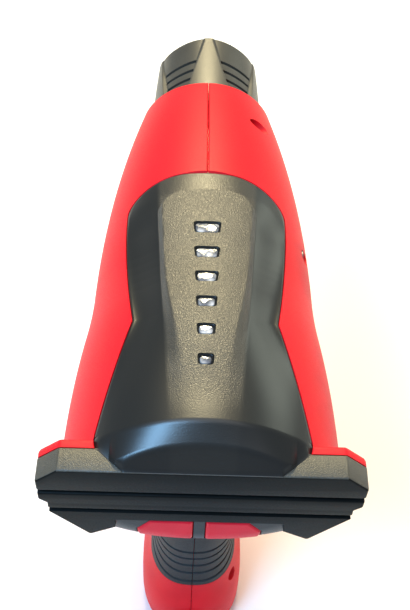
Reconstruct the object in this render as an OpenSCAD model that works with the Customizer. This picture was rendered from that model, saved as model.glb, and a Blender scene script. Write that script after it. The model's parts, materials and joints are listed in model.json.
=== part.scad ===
// Pistol-grip heat gun. The barrel lies along +Y with its nozzle forward, +X is the gun's right,
// and the origin is on the flat foot, straight below the handle's middle.
// Along the barrel, s counts forward from the rear stand face and h counts up from the barrel's axis.

/* [Body] */
// Height of the barrel's axis above the foot
axis_z = 165; // [160:1:175]
// Distance from the rear stand face to the handle's centre line
rear_gap = 58; // [56:1:60]
// Distance from the rear stand face to the front edge of the red shells
shell_front = 185; // [183:1:188]
// Largest radius of the body, just ahead of the rear flange
back_r = 46.6; // [46:0.1:47.5]
// Radius of the body at its shoulder
shoulder_r = 41.6; // [41:0.1:42.5]
// Distance from the rear stand face to the shoulder
shoulder_s = 77; // [74:1:80]
// Radius of the red shells at their front edge
nose_r = 27.8; // [27.5:0.1:29]
// Wall thickness of the shells and covers
wall = 2.6; // [2.4:0.1:2.8]
// Gap left along the seam between the two shells
seam = 0.1; // [0.1:0.05:0.2]

/* [Rear cover] */
// Width of the rear flange
flange_w = 101; // [98:1:104]
// Height of the flange's top edge above the barrel's axis
flange_top = 34; // [33:0.5:35]
// Thickness of the black flange
flange_t = 8.2; // [8:0.1:8.6]
// Thickness of the red rim in front of it
rim_t = 3.3; // [3:0.1:4]
// Height of the upper air slot above the barrel's axis
slot_1_h = 20.4; // [20:0.1:21]
// Height of the lower air slot above the barrel's axis
slot_2_h = 8.6; // [8.4:0.1:9]
// Width of one air slot
slot_w = 2; // [1.6:0.1:2.2]

/* [Top cover] */
// Half the width of the top cover over its front part
cover_half_w = 28.8; // [28:0.1:29.5]
// Distance from the rear stand face to the front of the top cover
cover_front = 121.5; // [120:0.5:123]
// Height of the raised display panel above the cover
panel_rise = 1.8; // [1.4:0.1:2]
// Number of indicator windows
led_count = 6; // [4:1:6]
// Spacing of the windows along the barrel
led_pitch = 11.65; // [10:0.05:11.8]
// Distance from the rear stand face to the front window
led_first_s = 90.9; // [88:0.1:93]
// Width of the front window
led_first_w = 9.8; // [9:0.1:10]
// Width of the rear window
led_last_w = 5.2; // [5:0.1:6]

/* [Handle] */
// Half the width of the foot
foot_a = 23.5; // [22:0.5:25]
// Half the depth of the foot
foot_b = 40; // [38:0.5:41]
// How far the foot's middle lies ahead of the handle, under the gun's balance point
foot_ahead = 6; // [4:0.5:7]
// Half the width of the grip at its narrowest
grip_a = 17.5; // [17:0.5:19]
// Half the depth of the grip at its narrowest
grip_b = 23.5; // [23:0.5:25]

/* [Nozzle] */
// Outer radius of the hot-air tube
tube_r = 17; // [16.8:0.1:17.2]
// Inner radius of the tube's mouth
mouth_r = 16.2; // [16:0.1:16.3]
// Outer radius of the guard at its front rim
guard_rim_r = 21.7; // [21.5:0.1:22.5]
// Distance from the rear stand face to the guard's front rim
guard_front = 222; // [220:1:224]

/* [Moving parts] */
// Travel of the power slider
slider_travel = 9; // [8:0.5:9]
// Travel of a temperature button
button_travel = 0.8; // [0.6:0.1:0.8]
// Gap around each moving piece
moving_gap = 0.35; // [0.3:0.05:0.4]
// Number of blades on the impeller
blade_count = 11; // [7:1:13]

/* [Hidden] */
$fn = 48;
red = [0.86, 0.10, 0.07];
button_red = [0.78, 0.09, 0.14];
black = [0.09, 0.09, 0.10];
rubber = [0.05, 0.05, 0.05];
steel = [0.62, 0.62, 0.64];
copper = [0.72, 0.40, 0.18];
board_green = [0.07, 0.28, 0.15];
far = 300;

rim_front = flange_t + rim_t;
cover_t = 2.4;
panel_front_s = 110;
// Outline of the flange seen from behind, right half, from the top edge down: [x, h]
flange_side = [[flange_w / 2 - 7.1, flange_top], [flange_w / 2, flange_top - 7],
    [flange_w / 2, 15.5], [flange_w / 2 - 2.6, 13], [flange_w / 2 - 2.4, 8], [35.6, -7.8],
    [27.7, -2.5]];
// The button console is turned about a line this far above the barrel's axis
console_h = 40;
console_r = 47;
console_bend = 20;
console_recess = 0.8;
button_in = 2.1;
button_out = 20.2;
button_top = 1;
button_low = -13.5;
button_x = 11.4;
button_h = -5;
tact_s = 14;
screw_r = 1.45;
// Screws from the right side: [x of the head's seat, y, z, length to the left of the centre]
screw_spots = [[12, 104, axis_z + 25, 9], [12, 104, axis_z - 25, 9], [34.4, 44, axis_z + 15, -22],
    [14, -12, 108, 12], [11.5, 14, 72, 10], [15, 15, 24, 13], [14, -17, 30, 11]];

// ---- helpers ----

// Stands a solid drawn up +Z along the barrel, starting s in front of the rear face
module along(s = 0) {
    translate([0, s - rear_gap, axis_z]) rotate([-90, 0, 0]) children();
}

// Extrudes an outline drawn in [x, h] along the barrel from s0 to s1
module across(s0, s1) {
    translate([0, s1 - rear_gap, axis_z]) rotate([90, 0, 0]) linear_extrude(s1 - s0) children();
}

// Extrudes an outline drawn in [x, s] upwards from the height h0 to h1
module upwards(h0, h1) {
    translate([0, -rear_gap, axis_z + h0]) linear_extrude(h1 - h0) children();
}

// A box along the barrel, given by its two ends on each of x, s and h
module block(x, s, h) {
    translate([x[0], s[0] - rear_gap, axis_z + h[0]]) cube([x[1] - x[0], s[1] - s[0], h[1] - h[0]]);
}

module tube(r_out, r_in, length) {
    difference() {
        cylinder(r = r_out, h = length);
        translate([0, 0, -1]) cylinder(r = r_in, h = length + 2);
    }
}

// Everything on one side of the seam: side is -1 for the left and 1 for the right
module half(side) {
    intersection() {
        children();
        if (side > 0) {
            union() {
                translate([seam / 2, -far / 2, -1]) cube([far / 2, far, far]);
                foot_tongue(0);
            }
        } else {
            difference() {
                translate([-far / 2 - seam / 2, -far / 2, -1]) cube([far / 2, far, far]);
                foot_tongue(seam);
            }
        }
    }
}

// Tongue on the right shell's floor that crosses the seam under the foot
module foot_tongue(grow) {
    translate([-4 - grow, -20 - grow, -2]) cube([8, 40 + 2 * grow, wall + 1 + 2 * grow]);
}

function spow(v, e) = sign(v) * pow(abs(v), e);

// ---- body form ----

function body_r(s) = s >= shoulder_s
    ? shoulder_r - (shoulder_r - nose_r) * pow((s - shoulder_s) / (shell_front - shoulder_s), 1.9)
    : back_r - (back_r - shoulder_r) * pow(max(0, s - rim_front) / (shoulder_s - rim_front), 2.5);
rear_profile = [[flange_top + 0.5, 0], [42, 5.3], [46.3, rim_front]];
body_stations = [30, 48, 62, shoulder_s, 95, 110, 125, 140, 155, 170];
function body_profile(grow) = concat([for (p = rear_profile) [p[0] + grow, p[1]]],
    [for (s = body_stations) [body_r(s) + grow, s]], [[nose_r + grow, shell_front]]);

// The turned form of the barrel, with its radius changed by grow
module barrel(grow = 0) {
    along() rotate_extrude($fn = 96) polygon(concat([[0, 0]], body_profile(grow), [[0, shell_front]]));
}

// The slope under the rear of the barrel, from the button console down to the handle
module under_slope(grow = 0) {
    start_r = console_r + console_bend * (2 * sin(45) - 1) - console_recess + grow;
    translate([0, -rear_gap, axis_z + console_h]) rotate([-90, 0, 0])
        cylinder(r1 = start_r, r2 = start_r + far, h = far, $fn = 96);
}

grip_sections = [[0, foot_ahead, foot_a - 1.5, foot_b - 1.5], [3, foot_ahead, foot_a, foot_b],
    [20, foot_ahead, foot_a - 0.5, foot_b - 0.5], [34, foot_ahead / 2, foot_a - 4, foot_b - 10.5],
    [54, -1, grip_a, grip_b], [80, -1, grip_a + 0.4, grip_b + 0.3],
    [98, 0, grip_a + 1.5, grip_b + 1.5], [112, 1.5, grip_a + 3.5, grip_b + 4],
    [136, 4, grip_a + 6, grip_b + 8]];
clamp_x = [-10, 10];
clamp_y = -16.5;
clamp_z = 16;
board_h = -29.4;
ring_n = 36;
grip_depth = 1.3;

// The form of the handle, shrunk by inset
module grip_form(inset = 0, floor_z = 0) {
    last = len(grip_sections) - 1;
    points = [for (k = [0:last]) let (g = grip_sections[k]) for (i = [0:ring_n - 1])
        let (t = 360 * i / ring_n)
        [(g[2] - inset) * spow(cos(t), 0.8), g[1] + (g[3] - inset) * spow(sin(t), 0.8),
            max(g[0], floor_z + 0.01 * k)]];
    sides = [for (k = [0:last - 1]) for (i = [0:ring_n - 1]) let (j = (i + 1) % ring_n)
        [k * ring_n + i, (k + 1) * ring_n + i, (k + 1) * ring_n + j, k * ring_n + j]];
    bottom = [[for (i = [0:ring_n - 1]) i]];
    top = [[for (i = [ring_n - 1:-1:0]) last * ring_n + i]];
    polyhedron(points = points, faces = concat(sides, bottom, top));
}

// Outline of the top cover seen from above, right half, from the rear forwards: [x, s]
cover_side = [[33.4, 0], [33.4, 12], [30.1, 30], [26.7, 42], [24.2, 50], [23.7, 56], [25, 63],
    [26.1, 70], [27.8, 83], [cover_half_w, 104]];
cover_corner = [for (t = [0:10:90]) [8 + (cover_half_w - 8) * cos(t),
    cover_front - 13 + 13 * sin(t)]];
function mirrored(pts) = concat(pts, [for (i = [len(pts) - 1:-1:0]) [-pts[i][0], pts[i][1]]]);
module cover_outline(grow = 0) {
    side = concat(cover_side, cover_corner);
    polygon(mirrored([for (p = side) [p[0] + grow, p[1] + (p[1] > cover_front - 13 ? grow : 0)]]));
}

// Outline of the raised panel seen from above: [x, s]
panel_side = [[7.6, 20], [16.8, panel_front_s - 10]];
module panel_outline() {
    corner = [for (t = [10:20:90]) [6.8 + 10 * cos(t), panel_front_s - 10 + 10 * sin(t)]];
    polygon(mirrored(concat(panel_side, corner)));
}

module flange_outline() {
    polygon(mirrored(flange_side));
}

// ---- housing ----

module shell_outer() {
    intersection() {
        barrel();
        under_slope();
        block([-60, 60], [flange_t, shell_front], [-60, 60]);
    }
    intersection() {
        across(flange_t, rim_front) flange_outline();
        block([-60, 60], [0, rim_front], [-60, flange_top]);
    }
    grip_form();
}

module shell_hollow() {
    intersection() {
        barrel(-wall);
        under_slope(-wall * 1.4);
        block([-60, 60], [rim_front, shell_front + 1], [-60, 60]);
    }
    intersection() {
        barrel(-wall);
        union() {
            across(0, rim_front + 1) offset(delta = -wall) flange_outline();
            block([-25, 25], [0, rim_front + 1], [-20, 6]);
        }
    }
    along(shell_front - 1) cylinder(r = nose_r - wall, h = 2);
    grip_form(wall, wall);
}

// Radial webs that carry the motor's rubber ring and the fan housing
module cradle_webs() {
    for (a = [40, 140, 220, 320]) {
        along(38) rotate([0, 0, a]) translate([22.1, -1, 0]) cube([30, 2, 6]);
        along(74) rotate([0, 0, a]) translate([31.1, -1, 0]) cube([30, 2, 6]);
    }
}

// Ledges under the control board, and the pad that takes the fan housing's screw
module inner_ledges() {
    for (x = [[-40, -16], [16, 40]]) for (s = [30, 54]) block(x, [s, s + 3], [board_h - 2, board_h - 0.05]);
    translate([33, screw_spots[2][1], screw_spots[2][2]]) rotate([0, 90, 0]) cylinder(r = 5, h = 10);
}

// Posts on the foot's floor for the cord clamp's screws
module clamp_posts() {
    for (x = clamp_x) translate([x, clamp_y, 1]) cylinder(r = 3.2, h = clamp_z - 1.05);
}

module screw_bosses() {
    for (p = screw_spots) if (p[3] > 0) {
        translate([-30, p[1], p[2]]) rotate([0, 90, 0]) cylinder(r = 3.6, h = 60);
    }
}

module screw_holes() {
    for (p = screw_spots) {
        translate([-p[3], p[1], p[2]]) rotate([0, 90, 0]) cylinder(r = screw_r + 0.1, h = 60);
        translate([p[0], p[1], p[2]]) rotate([0, 90, 0]) cylinder(r = 3, h = 60);
    }
}

module window_cut() {
    translate([-9.2, 15, 85.8]) cube([18.4, 30, 30.4]);
}

module grip_region(grow = 0) {
    translate([-60, 0, 0]) rotate([90, 0, 90]) linear_extrude(120) offset(delta = grow)
        polygon([[-40, 38], [-8, 38], [2, 50], [5, 80], [-6, 92], [-40, 98]]);
}

module housing(side) {
    half(side) difference() {
        union() {
            difference() {
                shell_outer();
                shell_hollow();
            }
            intersection() {
                barrel(-0.5);
                union() {
                    cradle_webs();
                    inner_ledges();
                    screw_bosses();
                }
            }
            intersection() {
                grip_form(0.5);
                union() {
                    screw_bosses();
                    clamp_posts();
                }
            }
        }
        upwards(24, 60) cover_outline(0.1);
        screw_holes();
        for (x = clamp_x) translate([x, clamp_y, wall]) cylinder(r = screw_r + 0.1, h = 30);
        difference() {
            intersection() {
                grip_form(-1);
                grip_region();
            }
            grip_form(grip_depth + 0.05);
        }
        window_cut();
        translate([0, -30, 12]) rotate([90, 0, 0]) cylinder(r = 6.6, h = 20);
    }
}
module housing_left() {
    color(red) housing(-1);
}
module housing_right() {
    color(red) housing(1);
}

// ---- soft grip ----

module grip(side) {
    color(rubber) half(side) difference() {
        intersection() {
            grip_form();
            grip_region(-0.05);
        }
        grip_form(grip_depth);
    }
}
module grip_left() {
    grip(-1);
}
module grip_right() {
    grip(1);
}

// ---- top cover and display ----

function led_s(i) = led_first_s - i * led_pitch;
function led_w(i) = led_first_w - i * (led_first_w - led_last_w) / 5;
function led_l(i) = 5.2 - 0.22 * i;

module led_prism(i, grow, h0, h1) {
    w = led_w(i) / 2 + grow;
    l = led_l(i) / 2 + grow;
    upwards(h0, h1) translate([0, led_s(i)]) polygon([[-w + 0.8, -l], [w - 0.8, -l], [w, l], [-w, l]]);
}

module top_cover() {
    color(black) difference() {
        union() {
            intersection() {
                difference() {
                    barrel();
                    barrel(-cover_t);
                }
                upwards(flange_top - 9, 60) cover_outline();
            }
            intersection() {
                difference() {
                    barrel(panel_rise);
                    barrel(-cover_t);
                }
                upwards(20, 60) panel_outline();
            }
            for (i = [0, 3]) intersection() {
                barrel(-1);
                upwards(35.25, 60) translate([0, led_s(i) - led_pitch / 2]) circle(r = 2);
            }
        }
        block([-60, 60], [-1, rim_front + 0.1], [0, flange_top + 0.05]);
        for (i = [0:led_count - 1]) led_prism(i, 0.1, 20, 60);
    }
}

// Clear light pipes that reach from just above the lamps to the panel's face
module led_windows() {
    color([0.85, 0.88, 0.92]) intersection() {
        barrel(panel_rise - 0.3);
        union() {
            for (i = [0:led_count - 1]) led_prism(i, 0, 37.6, 60);
        }
    }
}

module leds() {
    color([0.95, 0.95, 0.85]) for (i = [0:led_count - 1])
        block([-1.5, 1.5], [led_s(i) - 1, led_s(i) + 1], [35.2, 36.8]);
}

module led_board() {
    color(board_green) block([-8, 8], [26, 98], [33.6, 35.2]);
}

// ---- rear cover and buttons ----

// The domed rear console, turned about a line above the barrel, with its radius changed by grow
module console_form(grow = 0) {
    bend = [for (t = [0:7.5:45]) [console_r + console_bend * sin(t), console_bend * (1 - cos(t))]];
    translate([0, -rear_gap + console_recess, axis_z + console_h]) rotate([-90, 0, 0])
        rotate_extrude($fn = 96) polygon(concat([[0, -grow], [console_r, -grow]],
            [for (i = [1:len(bend) - 1]) bend[i] + grow * [sin(7.5 * i), -cos(7.5 * i)]],
            [[console_r + 0.74 * console_bend + 12 + grow, 18], [0, 18]]));
}

// Outline of one temperature button in [x, h]; its outer top corner is cut off
module button_outline(side, grow) {
    scale([side, 1]) polygon([[button_in - grow, button_top + grow],
        [button_out - 4.4 + grow * 0.4, button_top + grow],
        [button_out + grow, button_top - 6 + grow * 0.4],
        [button_out + grow, button_low - grow], [button_in - grow, button_low - grow]]);
}

module console_region(grow = 0) {
    block([-27.7 - grow, 27.7 + grow], [0, flange_t], [-24, 6]);
}

module rear_cover() {
    color(black) difference() {
        union() {
            difference() {
                across(0, flange_t) flange_outline();
                across(wall, flange_t + 1) offset(delta = -wall) flange_outline();
            }
            intersection() {
                across(0, 5.4) flange_outline();
                for (x = [-22, 0, 22]) block([x - 0.8, x + 0.8], [1, 5.4], [4, flange_top]);
            }
            intersection() {
                console_form();
                console_region();
            }
            along(2) translate([0, -button_h, 0]) cylinder(r = 1.6, h = tact_s - 2.05);
        }
        difference() {
            console_form(-wall);
            along(-1) translate([0, -button_h, 0]) cylinder(r = 1.6, h = 30);
            block([-60, 60], [-1, 20], [4, 60]);
            block([-60, -25.1], [-1, 20], [-60, 60]);
            block([25.1, 60], [-1, 20], [-60, 60]);
        }
        for (h = [slot_1_h, slot_2_h]) {
            block([-45, 45], [-1, wall + 0.01], [h - slot_w / 2, h + slot_w / 2]);
            block([-60, 60], [-1, 1.2], [h - slot_w / 2, h + slot_w / 2]);
        }
        for (side = [-1, 1]) across(-1, flange_t + 2) button_outline(side, moving_gap);
        block([-25, 25], [-1, console_recess], [-60, button_top + 1.4]);
    }
}

// Fine screen behind the air slots
module intake_filter() {
    color([0.25, 0.25, 0.27]) difference() {
        block([-43, 43], [5.5, 6.3], [7, 31]);
        for (x = [-40:4:40]) for (h = [9:3:29])
            block([x - 1.4, x + 1.4], [5, 7], [h - 0.9, h + 0.9]);
    }
}

module temp_button(side) {
    color(button_red) {
        difference() {
            intersection() {
                console_form(-0.1);
                across(0, flange_t) button_outline(side, 0);
            }
            console_form(-2.4);
        }
        translate([side * button_x, 3 - rear_gap, axis_z + button_h]) rotate([-90, 0, 0])
            cylinder(r = 2.2, h = 5.3);
    }
}
module temp_down_button() {
    temp_button(-1);
}
module temp_up_button() {
    temp_button(1);
}

module button_board() {
    color(board_green) block([-22, 22], [tact_s, tact_s + 1.6], [-14, 4]);
}

module tact_switches() {
    color([0.2, 0.2, 0.22]) for (x = [-button_x, button_x]) {
        block([x - 3, x + 3], [tact_s - 3.5, tact_s], [button_h - 3, button_h + 3]);
        translate([x, tact_s - 4.7 - rear_gap, axis_z + button_h]) rotate([-90, 0, 0])
            cylinder(r = 1.7, h = 1.5);
    }
}

// ---- hot end ----

guard_wall = 2.2;
guard_base_r = 24.4;

// Five ribs, one of them on top
rib_angles = [90:72:378];

module guard_slots() {
    for (a = rib_angles) for (s = [192, 200.5, 209])
        along(s) rotate([0, 0, a + 13]) rotate_extrude(angle = 46, $fn = 96)
            translate([12, 0]) square([16, 3.4]);
}

module nozzle_guard() {
    rise = guard_front - shell_front;
    color(black) {
        difference() {
            along() rotate_extrude($fn = 96) polygon([
                [guard_base_r - guard_wall, shell_front - 9], [guard_base_r, shell_front - 9],
                [26.2, shell_front - 9], [26.2, shell_front - 7], [guard_base_r, shell_front - 7],
                [guard_base_r, shell_front + 0.5], [guard_base_r - 1.2, shell_front + 1.5],
                [guard_rim_r - 1.4, guard_front - 3], [guard_rim_r, guard_front - 3],
                [guard_rim_r, guard_front], [guard_rim_r - guard_wall, guard_front],
                [guard_rim_r - guard_wall - 0.6, guard_front - 5]]);
            guard_slots();
        }
        for (a = rib_angles) along(shell_front + 0.5) rotate([0, 0, a])
            rotate([90, 0, 0]) translate([0, 0, -3]) linear_extrude(6)
            polygon([[guard_base_r - 2, 0], [guard_base_r + 0.6, 0],
                [guard_rim_r, rise - 0.6], [guard_rim_r - 1.6, rise - 0.6]]);
    }
}

tube_step = 199;
module nozzle_tube() {
    color(steel) along() rotate_extrude($fn = 96) polygon([[15.7, 108], [25, 108], [25, 109.2],
        [tube_r - 0.2, 109.2], [tube_r - 0.2, 188], [tube_r, 188], [tube_r, guard_front - 1],
        [mouth_r, guard_front - 1], [mouth_r, tube_step], [15.7, tube_step]]);
}

module mica_sleeve() {
    color([0.75, 0.66, 0.48]) along(114) tube(15.4, 14.9, 82);
}

module heater_former() {
    color([0.93, 0.91, 0.86]) along(113.5) for (a = [0, 90])
        rotate([0, 0, a]) translate([-13, -1, 0]) cube([26, 2, 80]);
}

coil_turns = 13;
coil_steps = 14;
module heating_coil() {
    turn_n = coil_turns * coil_steps;
    wire_r = 0.45;
    coil_r = 13.8;
    wire_n = 6;
    points = [for (k = [0:turn_n]) let (t = 360 * k / coil_steps) for (i = [0:wire_n - 1])
        let (w = 360 * i / wire_n) [(coil_r + wire_r * cos(w)) * cos(t),
            (coil_r + wire_r * cos(w)) * sin(t), 5.6 * k / coil_steps + wire_r * sin(w)]];
    sides = [for (k = [0:turn_n - 1]) for (i = [0:wire_n - 1]) let (j = (i + 1) % wire_n)
        [k * wire_n + i, k * wire_n + j, (k + 1) * wire_n + j, (k + 1) * wire_n + i]];
    start = [[for (i = [wire_n - 1:-1:0]) i]];
    end = [[for (i = [0:wire_n - 1]) turn_n * wire_n + i]];
    color(copper) along(117) polyhedron(points = points, faces = concat(sides, start, end));
}

module heater_base() {
    color([0.93, 0.91, 0.86]) along(109.6) difference() {
        cylinder(r = 15.4, h = 3.9);
        for (a = [45:90:315]) rotate([0, 0, a]) translate([9, 0, -1]) cylinder(r = 3.2, h = 6);
    }
}

module thermal_cutout() {
    color(steel) block([-4, 4], [104.6, 109.6], [-2, 2]);
}

module temperature_sensor() {
    color(steel) translate([5, 113.5 - rear_gap, axis_z + 5]) rotate([-90, 0, 0]) {
        cylinder(r = 0.8, h = 80);
        translate([0, 0, 78.5]) sphere(r = 1.2);
    }
}

// ---- fan ----

module fan_housing() {
    color([0.78, 0.74, 0.62]) difference() {
        union() {
            along() rotate_extrude($fn = 96) polygon([[29, 62], [31, 62], [31, 97], [25, 106],
                [25, 108], [17.5, 108], [17.5, 106.6], [23, 105.6], [29, 96]]);
            along(62) tube(20.2, 18.05, 4);
            for (a = [0:60:300]) along(62) rotate([0, 0, a]) translate([19.5, -1, 0]) cube([10.5, 2, 4]);
            difference() {
                translate([20, screw_spots[2][1], screw_spots[2][2]]) rotate([0, 90, 0])
                    cylinder(r = 3.6, h = 12.9);
                along() rotate_extrude($fn = 96)
                    polygon([[0, 90], [30, 90], [30, 97.3], [24, 106.3], [0, 106.3]]);
            }
        }
        translate([22, screw_spots[2][1], screw_spots[2][2]]) rotate([0, 90, 0])
            cylinder(r = screw_r + 0.1, h = 20);
    }
}

module impeller() {
    color([0.15, 0.15, 0.16]) along(72) {
        tube(7, 1.6, 16);
        tube(26, 6, 1.6);
        for (i = [0:blade_count - 1]) rotate([0, 0, 360 * i / blade_count])
            intersection() {
                translate([6, -16, 1]) difference() {
                    translate([10, 0, 0]) cylinder(r = 17.4, h = 14);
                    translate([10, 0, -1]) cylinder(r = 16, h = 16);
                }
                difference() {
                    cylinder(r = 27, h = 15);
                    translate([0, 0, -1]) cylinder(r = 6.5, h = 17);
                }
                translate([0, 0, 0]) cube([28, 28, 16]);
            }
    }
}

module motor_can() {
    color(steel) along() rotate_extrude($fn = 96) polygon([[4, 66.4], [18, 66.4], [18, 30],
        [16.8, 30], [16.8, 65.2], [4, 65.2]]);
}

module motor_magnets() {
    color([0.25, 0.24, 0.24]) for (a = [0, 180]) along(38) rotate([0, 0, a - 55])
        rotate_extrude(angle = 110, $fn = 96) translate([14, 0]) square([2.75, 25]);
}

module motor_end_cap() {
    color([0.12, 0.12, 0.13]) along() rotate_extrude($fn = 96) polygon([[3.5, 25], [17.9, 25],
        [17.9, 29.9], [16.7, 29.9], [16.7, 33], [15.4, 33], [15.4, 27.5], [3.5, 27.5]]);
    color([0.12, 0.12, 0.13]) for (side = [-1, 1]) {
        difference() {
            block([side > 0 ? 7 : -15.6, side > 0 ? 15.6 : -7], [27, 37], [-2.6, 2.6]);
            block([-20, 20], [31.4, 35.6], [-1.6, 1.6]);
        }
        along(22.6) translate([0, side * 12, 0]) cylinder(r = 1.5, h = 2.5);
    }
}

module armature_core() {
    color([0.45, 0.45, 0.47]) along(41) difference() {
        cylinder(r = 13, h = 19);
        translate([0, 0, -1]) cylinder(r = 1.6, h = 21);
        for (a = [0:45:315]) rotate([0, 0, a]) translate([6, -1.4, -1]) cube([8, 2.8, 21]);
    }
}

module armature_windings() {
    color(copper) for (s = [37.6, 60.1]) along(s) tube(10.5, 1.6, 3.3);
}

module commutator() {
    color(copper) along(30.5) difference() {
        tube(4.5, 1.6, 6.5);
        for (a = [0:45:315]) rotate([0, 0, a]) translate([4, -0.2, -1]) cube([1, 0.4, 9]);
    }
}

module motor_shaft() {
    color(steel) along(25.4) cylinder(r = 1.6, h = 64);
}

module front_bearing() {
    color([0.7, 0.55, 0.3]) along(64) tube(3.95, 1.65, 3.4);
}

module rear_bearing() {
    color([0.7, 0.55, 0.3]) along(25.2) tube(3.45, 1.65, 4);
}

module carbon_brushes() {
    color([0.15, 0.15, 0.16]) for (side = [-1, 1])
        block([side > 0 ? 4.8 : -13, side > 0 ? 13 : -4.8], [31.5, 35.5], [-1.5, 1.5]);
}

module motor_damper() {
    color(rubber) along(38) tube(22, 18.05, 6);
}

// ---- electronics ----

module rectifier_board() {
    color(board_green) along(21) difference() {
        cylinder(r = 15, h = 1.6);
        translate([0, 0, -1]) cylinder(r = 2.5, h = 4);
    }
}

module rectifier_diodes() {
    color([0.12, 0.12, 0.12]) for (x = [-7, 7]) for (h = [-6, 6])
        translate([x - 2.5, 19.6 - rear_gap, axis_z + h]) rotate([0, 90, 0])
            cylinder(r = 1.4, h = 5);
}

module control_board() {
    color(board_green) block([-20, 20], [26, 60], [board_h, board_h + 1.6]);
}

module control_capacitor() {
    color([0.75, 0.6, 0.15]) block([-15, -4], [47, 58], [board_h - 8, board_h]);
}

module triac() {
    color([0.12, 0.12, 0.12]) block([2, 12], [35, 39.5], [board_h - 9, board_h]);
}

module triac_heatsink() {
    color([0.7, 0.7, 0.72]) {
        block([0, 13.9], [39.5, 41], [board_h - 9.5, board_h - 0.5]);
        for (x = [0:3.1:12.4]) block([x, x + 1.5], [41, 52], [board_h - 9.5, board_h - 0.5]);
    }
}

// ---- switch ----

slider_low = 89.4;
module switch_bezel() {
    color(black) difference() {
        translate([-9, 21.5, 86]) cube([18, 7.6, 30]);
        translate([-6, 20, 88.6]) cube([12, 20, 12.8 + slider_travel + 1.6]);
        translate([-8, 20, 87]) cube([16, 4.2, 28]);
    }
}

module switch_slider() {
    color(red) {
        translate([-5.6, 23, slider_low]) cube([11.2, 8, 12]);
        for (z = [0:2.4:9.6]) translate([-5.6, 31, slider_low + 1.2 + z]) rotate([0, 90, 0])
            cylinder(r = 0.7, h = 11.2);
        translate([-7.4, 21.4, slider_low - 1.6]) cube([14.8, 2, 15]);
        translate([-1.5, 17, slider_low + 4]) cube([3, 5, 4]);
    }
}

module switch_body() {
    color([0.16, 0.16, 0.18]) difference() {
        translate([-7, 2, 84]) cube([14, 18.5, 32]);
        translate([-2.2, 15, 88]) cube([4.4, 8, 24]);
    }
}

module terminal_block() {
    color([0.9, 0.9, 0.88]) difference() {
        translate([-9, -8, 46]) cube([18, 12, 14]);
        for (x = [-5, 0, 5]) translate([x, -2, 40]) cylinder(r = 1.6, h = 30);
    }
}

// ---- cord inlet ----

gland_z = 12;
module cord_gland() {
    color(rubber) translate([0, 0, gland_z]) rotate([90, 0, 0]) difference() {
        union() {
            translate([0, 0, 26]) cylinder(r = 8.4, h = 3.2);
            translate([0, 0, 26]) cylinder(r = 6.5, h = 9);
            translate([0, 0, 34.3]) cylinder(r = 8.4, h = 3);
        }
        translate([0, 0, 20]) cylinder(r = 4.2, h = 20);
    }
}

module cord_clamp() {
    color(black) difference() {
        translate([-13, clamp_y - 3.5, clamp_z]) cube([26, 7, 3]);
        for (x = clamp_x) translate([x, clamp_y, 10]) cylinder(r = 1.6, h = 20);
    }
}

module cord_clamp_screws() {
    color(steel) for (x = clamp_x) translate([x, clamp_y, clamp_z - 8]) {
        cylinder(r = screw_r, h = 11.5);
        translate([0, 0, 11]) cylinder(r = 2.7, h = 1.8);
    }
}

module housing_screws() {
    color([0.3, 0.3, 0.32]) for (p = screw_spots) translate([0, p[1], p[2]]) rotate([0, 90, 0]) {
        translate([0, 0, -p[3] + 1]) cylinder(r = screw_r, h = p[0] + p[3] - 1);
        difference() {
            translate([0, 0, p[0]]) cylinder(r = 2.8, h = 2);
            translate([0, 0, p[0] + 0.8]) cylinder(r = 1.2, h = 2);
        }
    }
}

housing_left();
housing_right();
grip_left();
grip_right();
top_cover();
led_windows();
leds();
led_board();
rear_cover();
intake_filter();
temp_down_button();
temp_up_button();
button_board();
tact_switches();
nozzle_guard();
nozzle_tube();
mica_sleeve();
heater_former();
heating_coil();
heater_base();
thermal_cutout();
temperature_sensor();
fan_housing();
impeller();
motor_can();
motor_magnets();
motor_end_cap();
armature_core();
armature_windings();
commutator();
motor_shaft();
front_bearing();
rear_bearing();
carbon_brushes();
motor_damper();
rectifier_board();
rectifier_diodes();
control_board();
control_capacitor();
triac();
triac_heatsink();
switch_bezel();
switch_slider();
switch_body();
terminal_block();
cord_gland();
cord_clamp();
cord_clamp_screws();
housing_screws();
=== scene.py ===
"""Looks of the heat gun. Lengths are in millimetres until a mesh is made, and places are (x, s, h):
x to the gun's right, s forward from the rear stand face, h up from the barrel's axis."""
import json
import math

import bmesh
import bpy
import numpy as np
from mathutils import Matrix, Vector


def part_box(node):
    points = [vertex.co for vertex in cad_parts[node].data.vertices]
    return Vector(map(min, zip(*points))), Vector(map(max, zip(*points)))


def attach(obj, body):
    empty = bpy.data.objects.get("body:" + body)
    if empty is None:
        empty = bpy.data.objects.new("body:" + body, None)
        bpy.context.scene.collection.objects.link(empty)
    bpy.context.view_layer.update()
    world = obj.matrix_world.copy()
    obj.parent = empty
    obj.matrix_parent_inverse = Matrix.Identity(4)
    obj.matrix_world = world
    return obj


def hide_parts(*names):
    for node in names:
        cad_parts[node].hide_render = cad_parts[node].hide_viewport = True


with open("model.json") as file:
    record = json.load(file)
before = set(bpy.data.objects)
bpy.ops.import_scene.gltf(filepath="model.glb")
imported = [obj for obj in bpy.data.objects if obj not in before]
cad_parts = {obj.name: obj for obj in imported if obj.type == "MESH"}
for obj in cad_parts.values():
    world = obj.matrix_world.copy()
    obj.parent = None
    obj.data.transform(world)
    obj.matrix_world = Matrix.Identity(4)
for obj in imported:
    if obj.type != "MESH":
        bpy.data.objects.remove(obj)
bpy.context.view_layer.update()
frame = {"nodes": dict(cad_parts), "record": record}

# ---- frame ----

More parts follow.
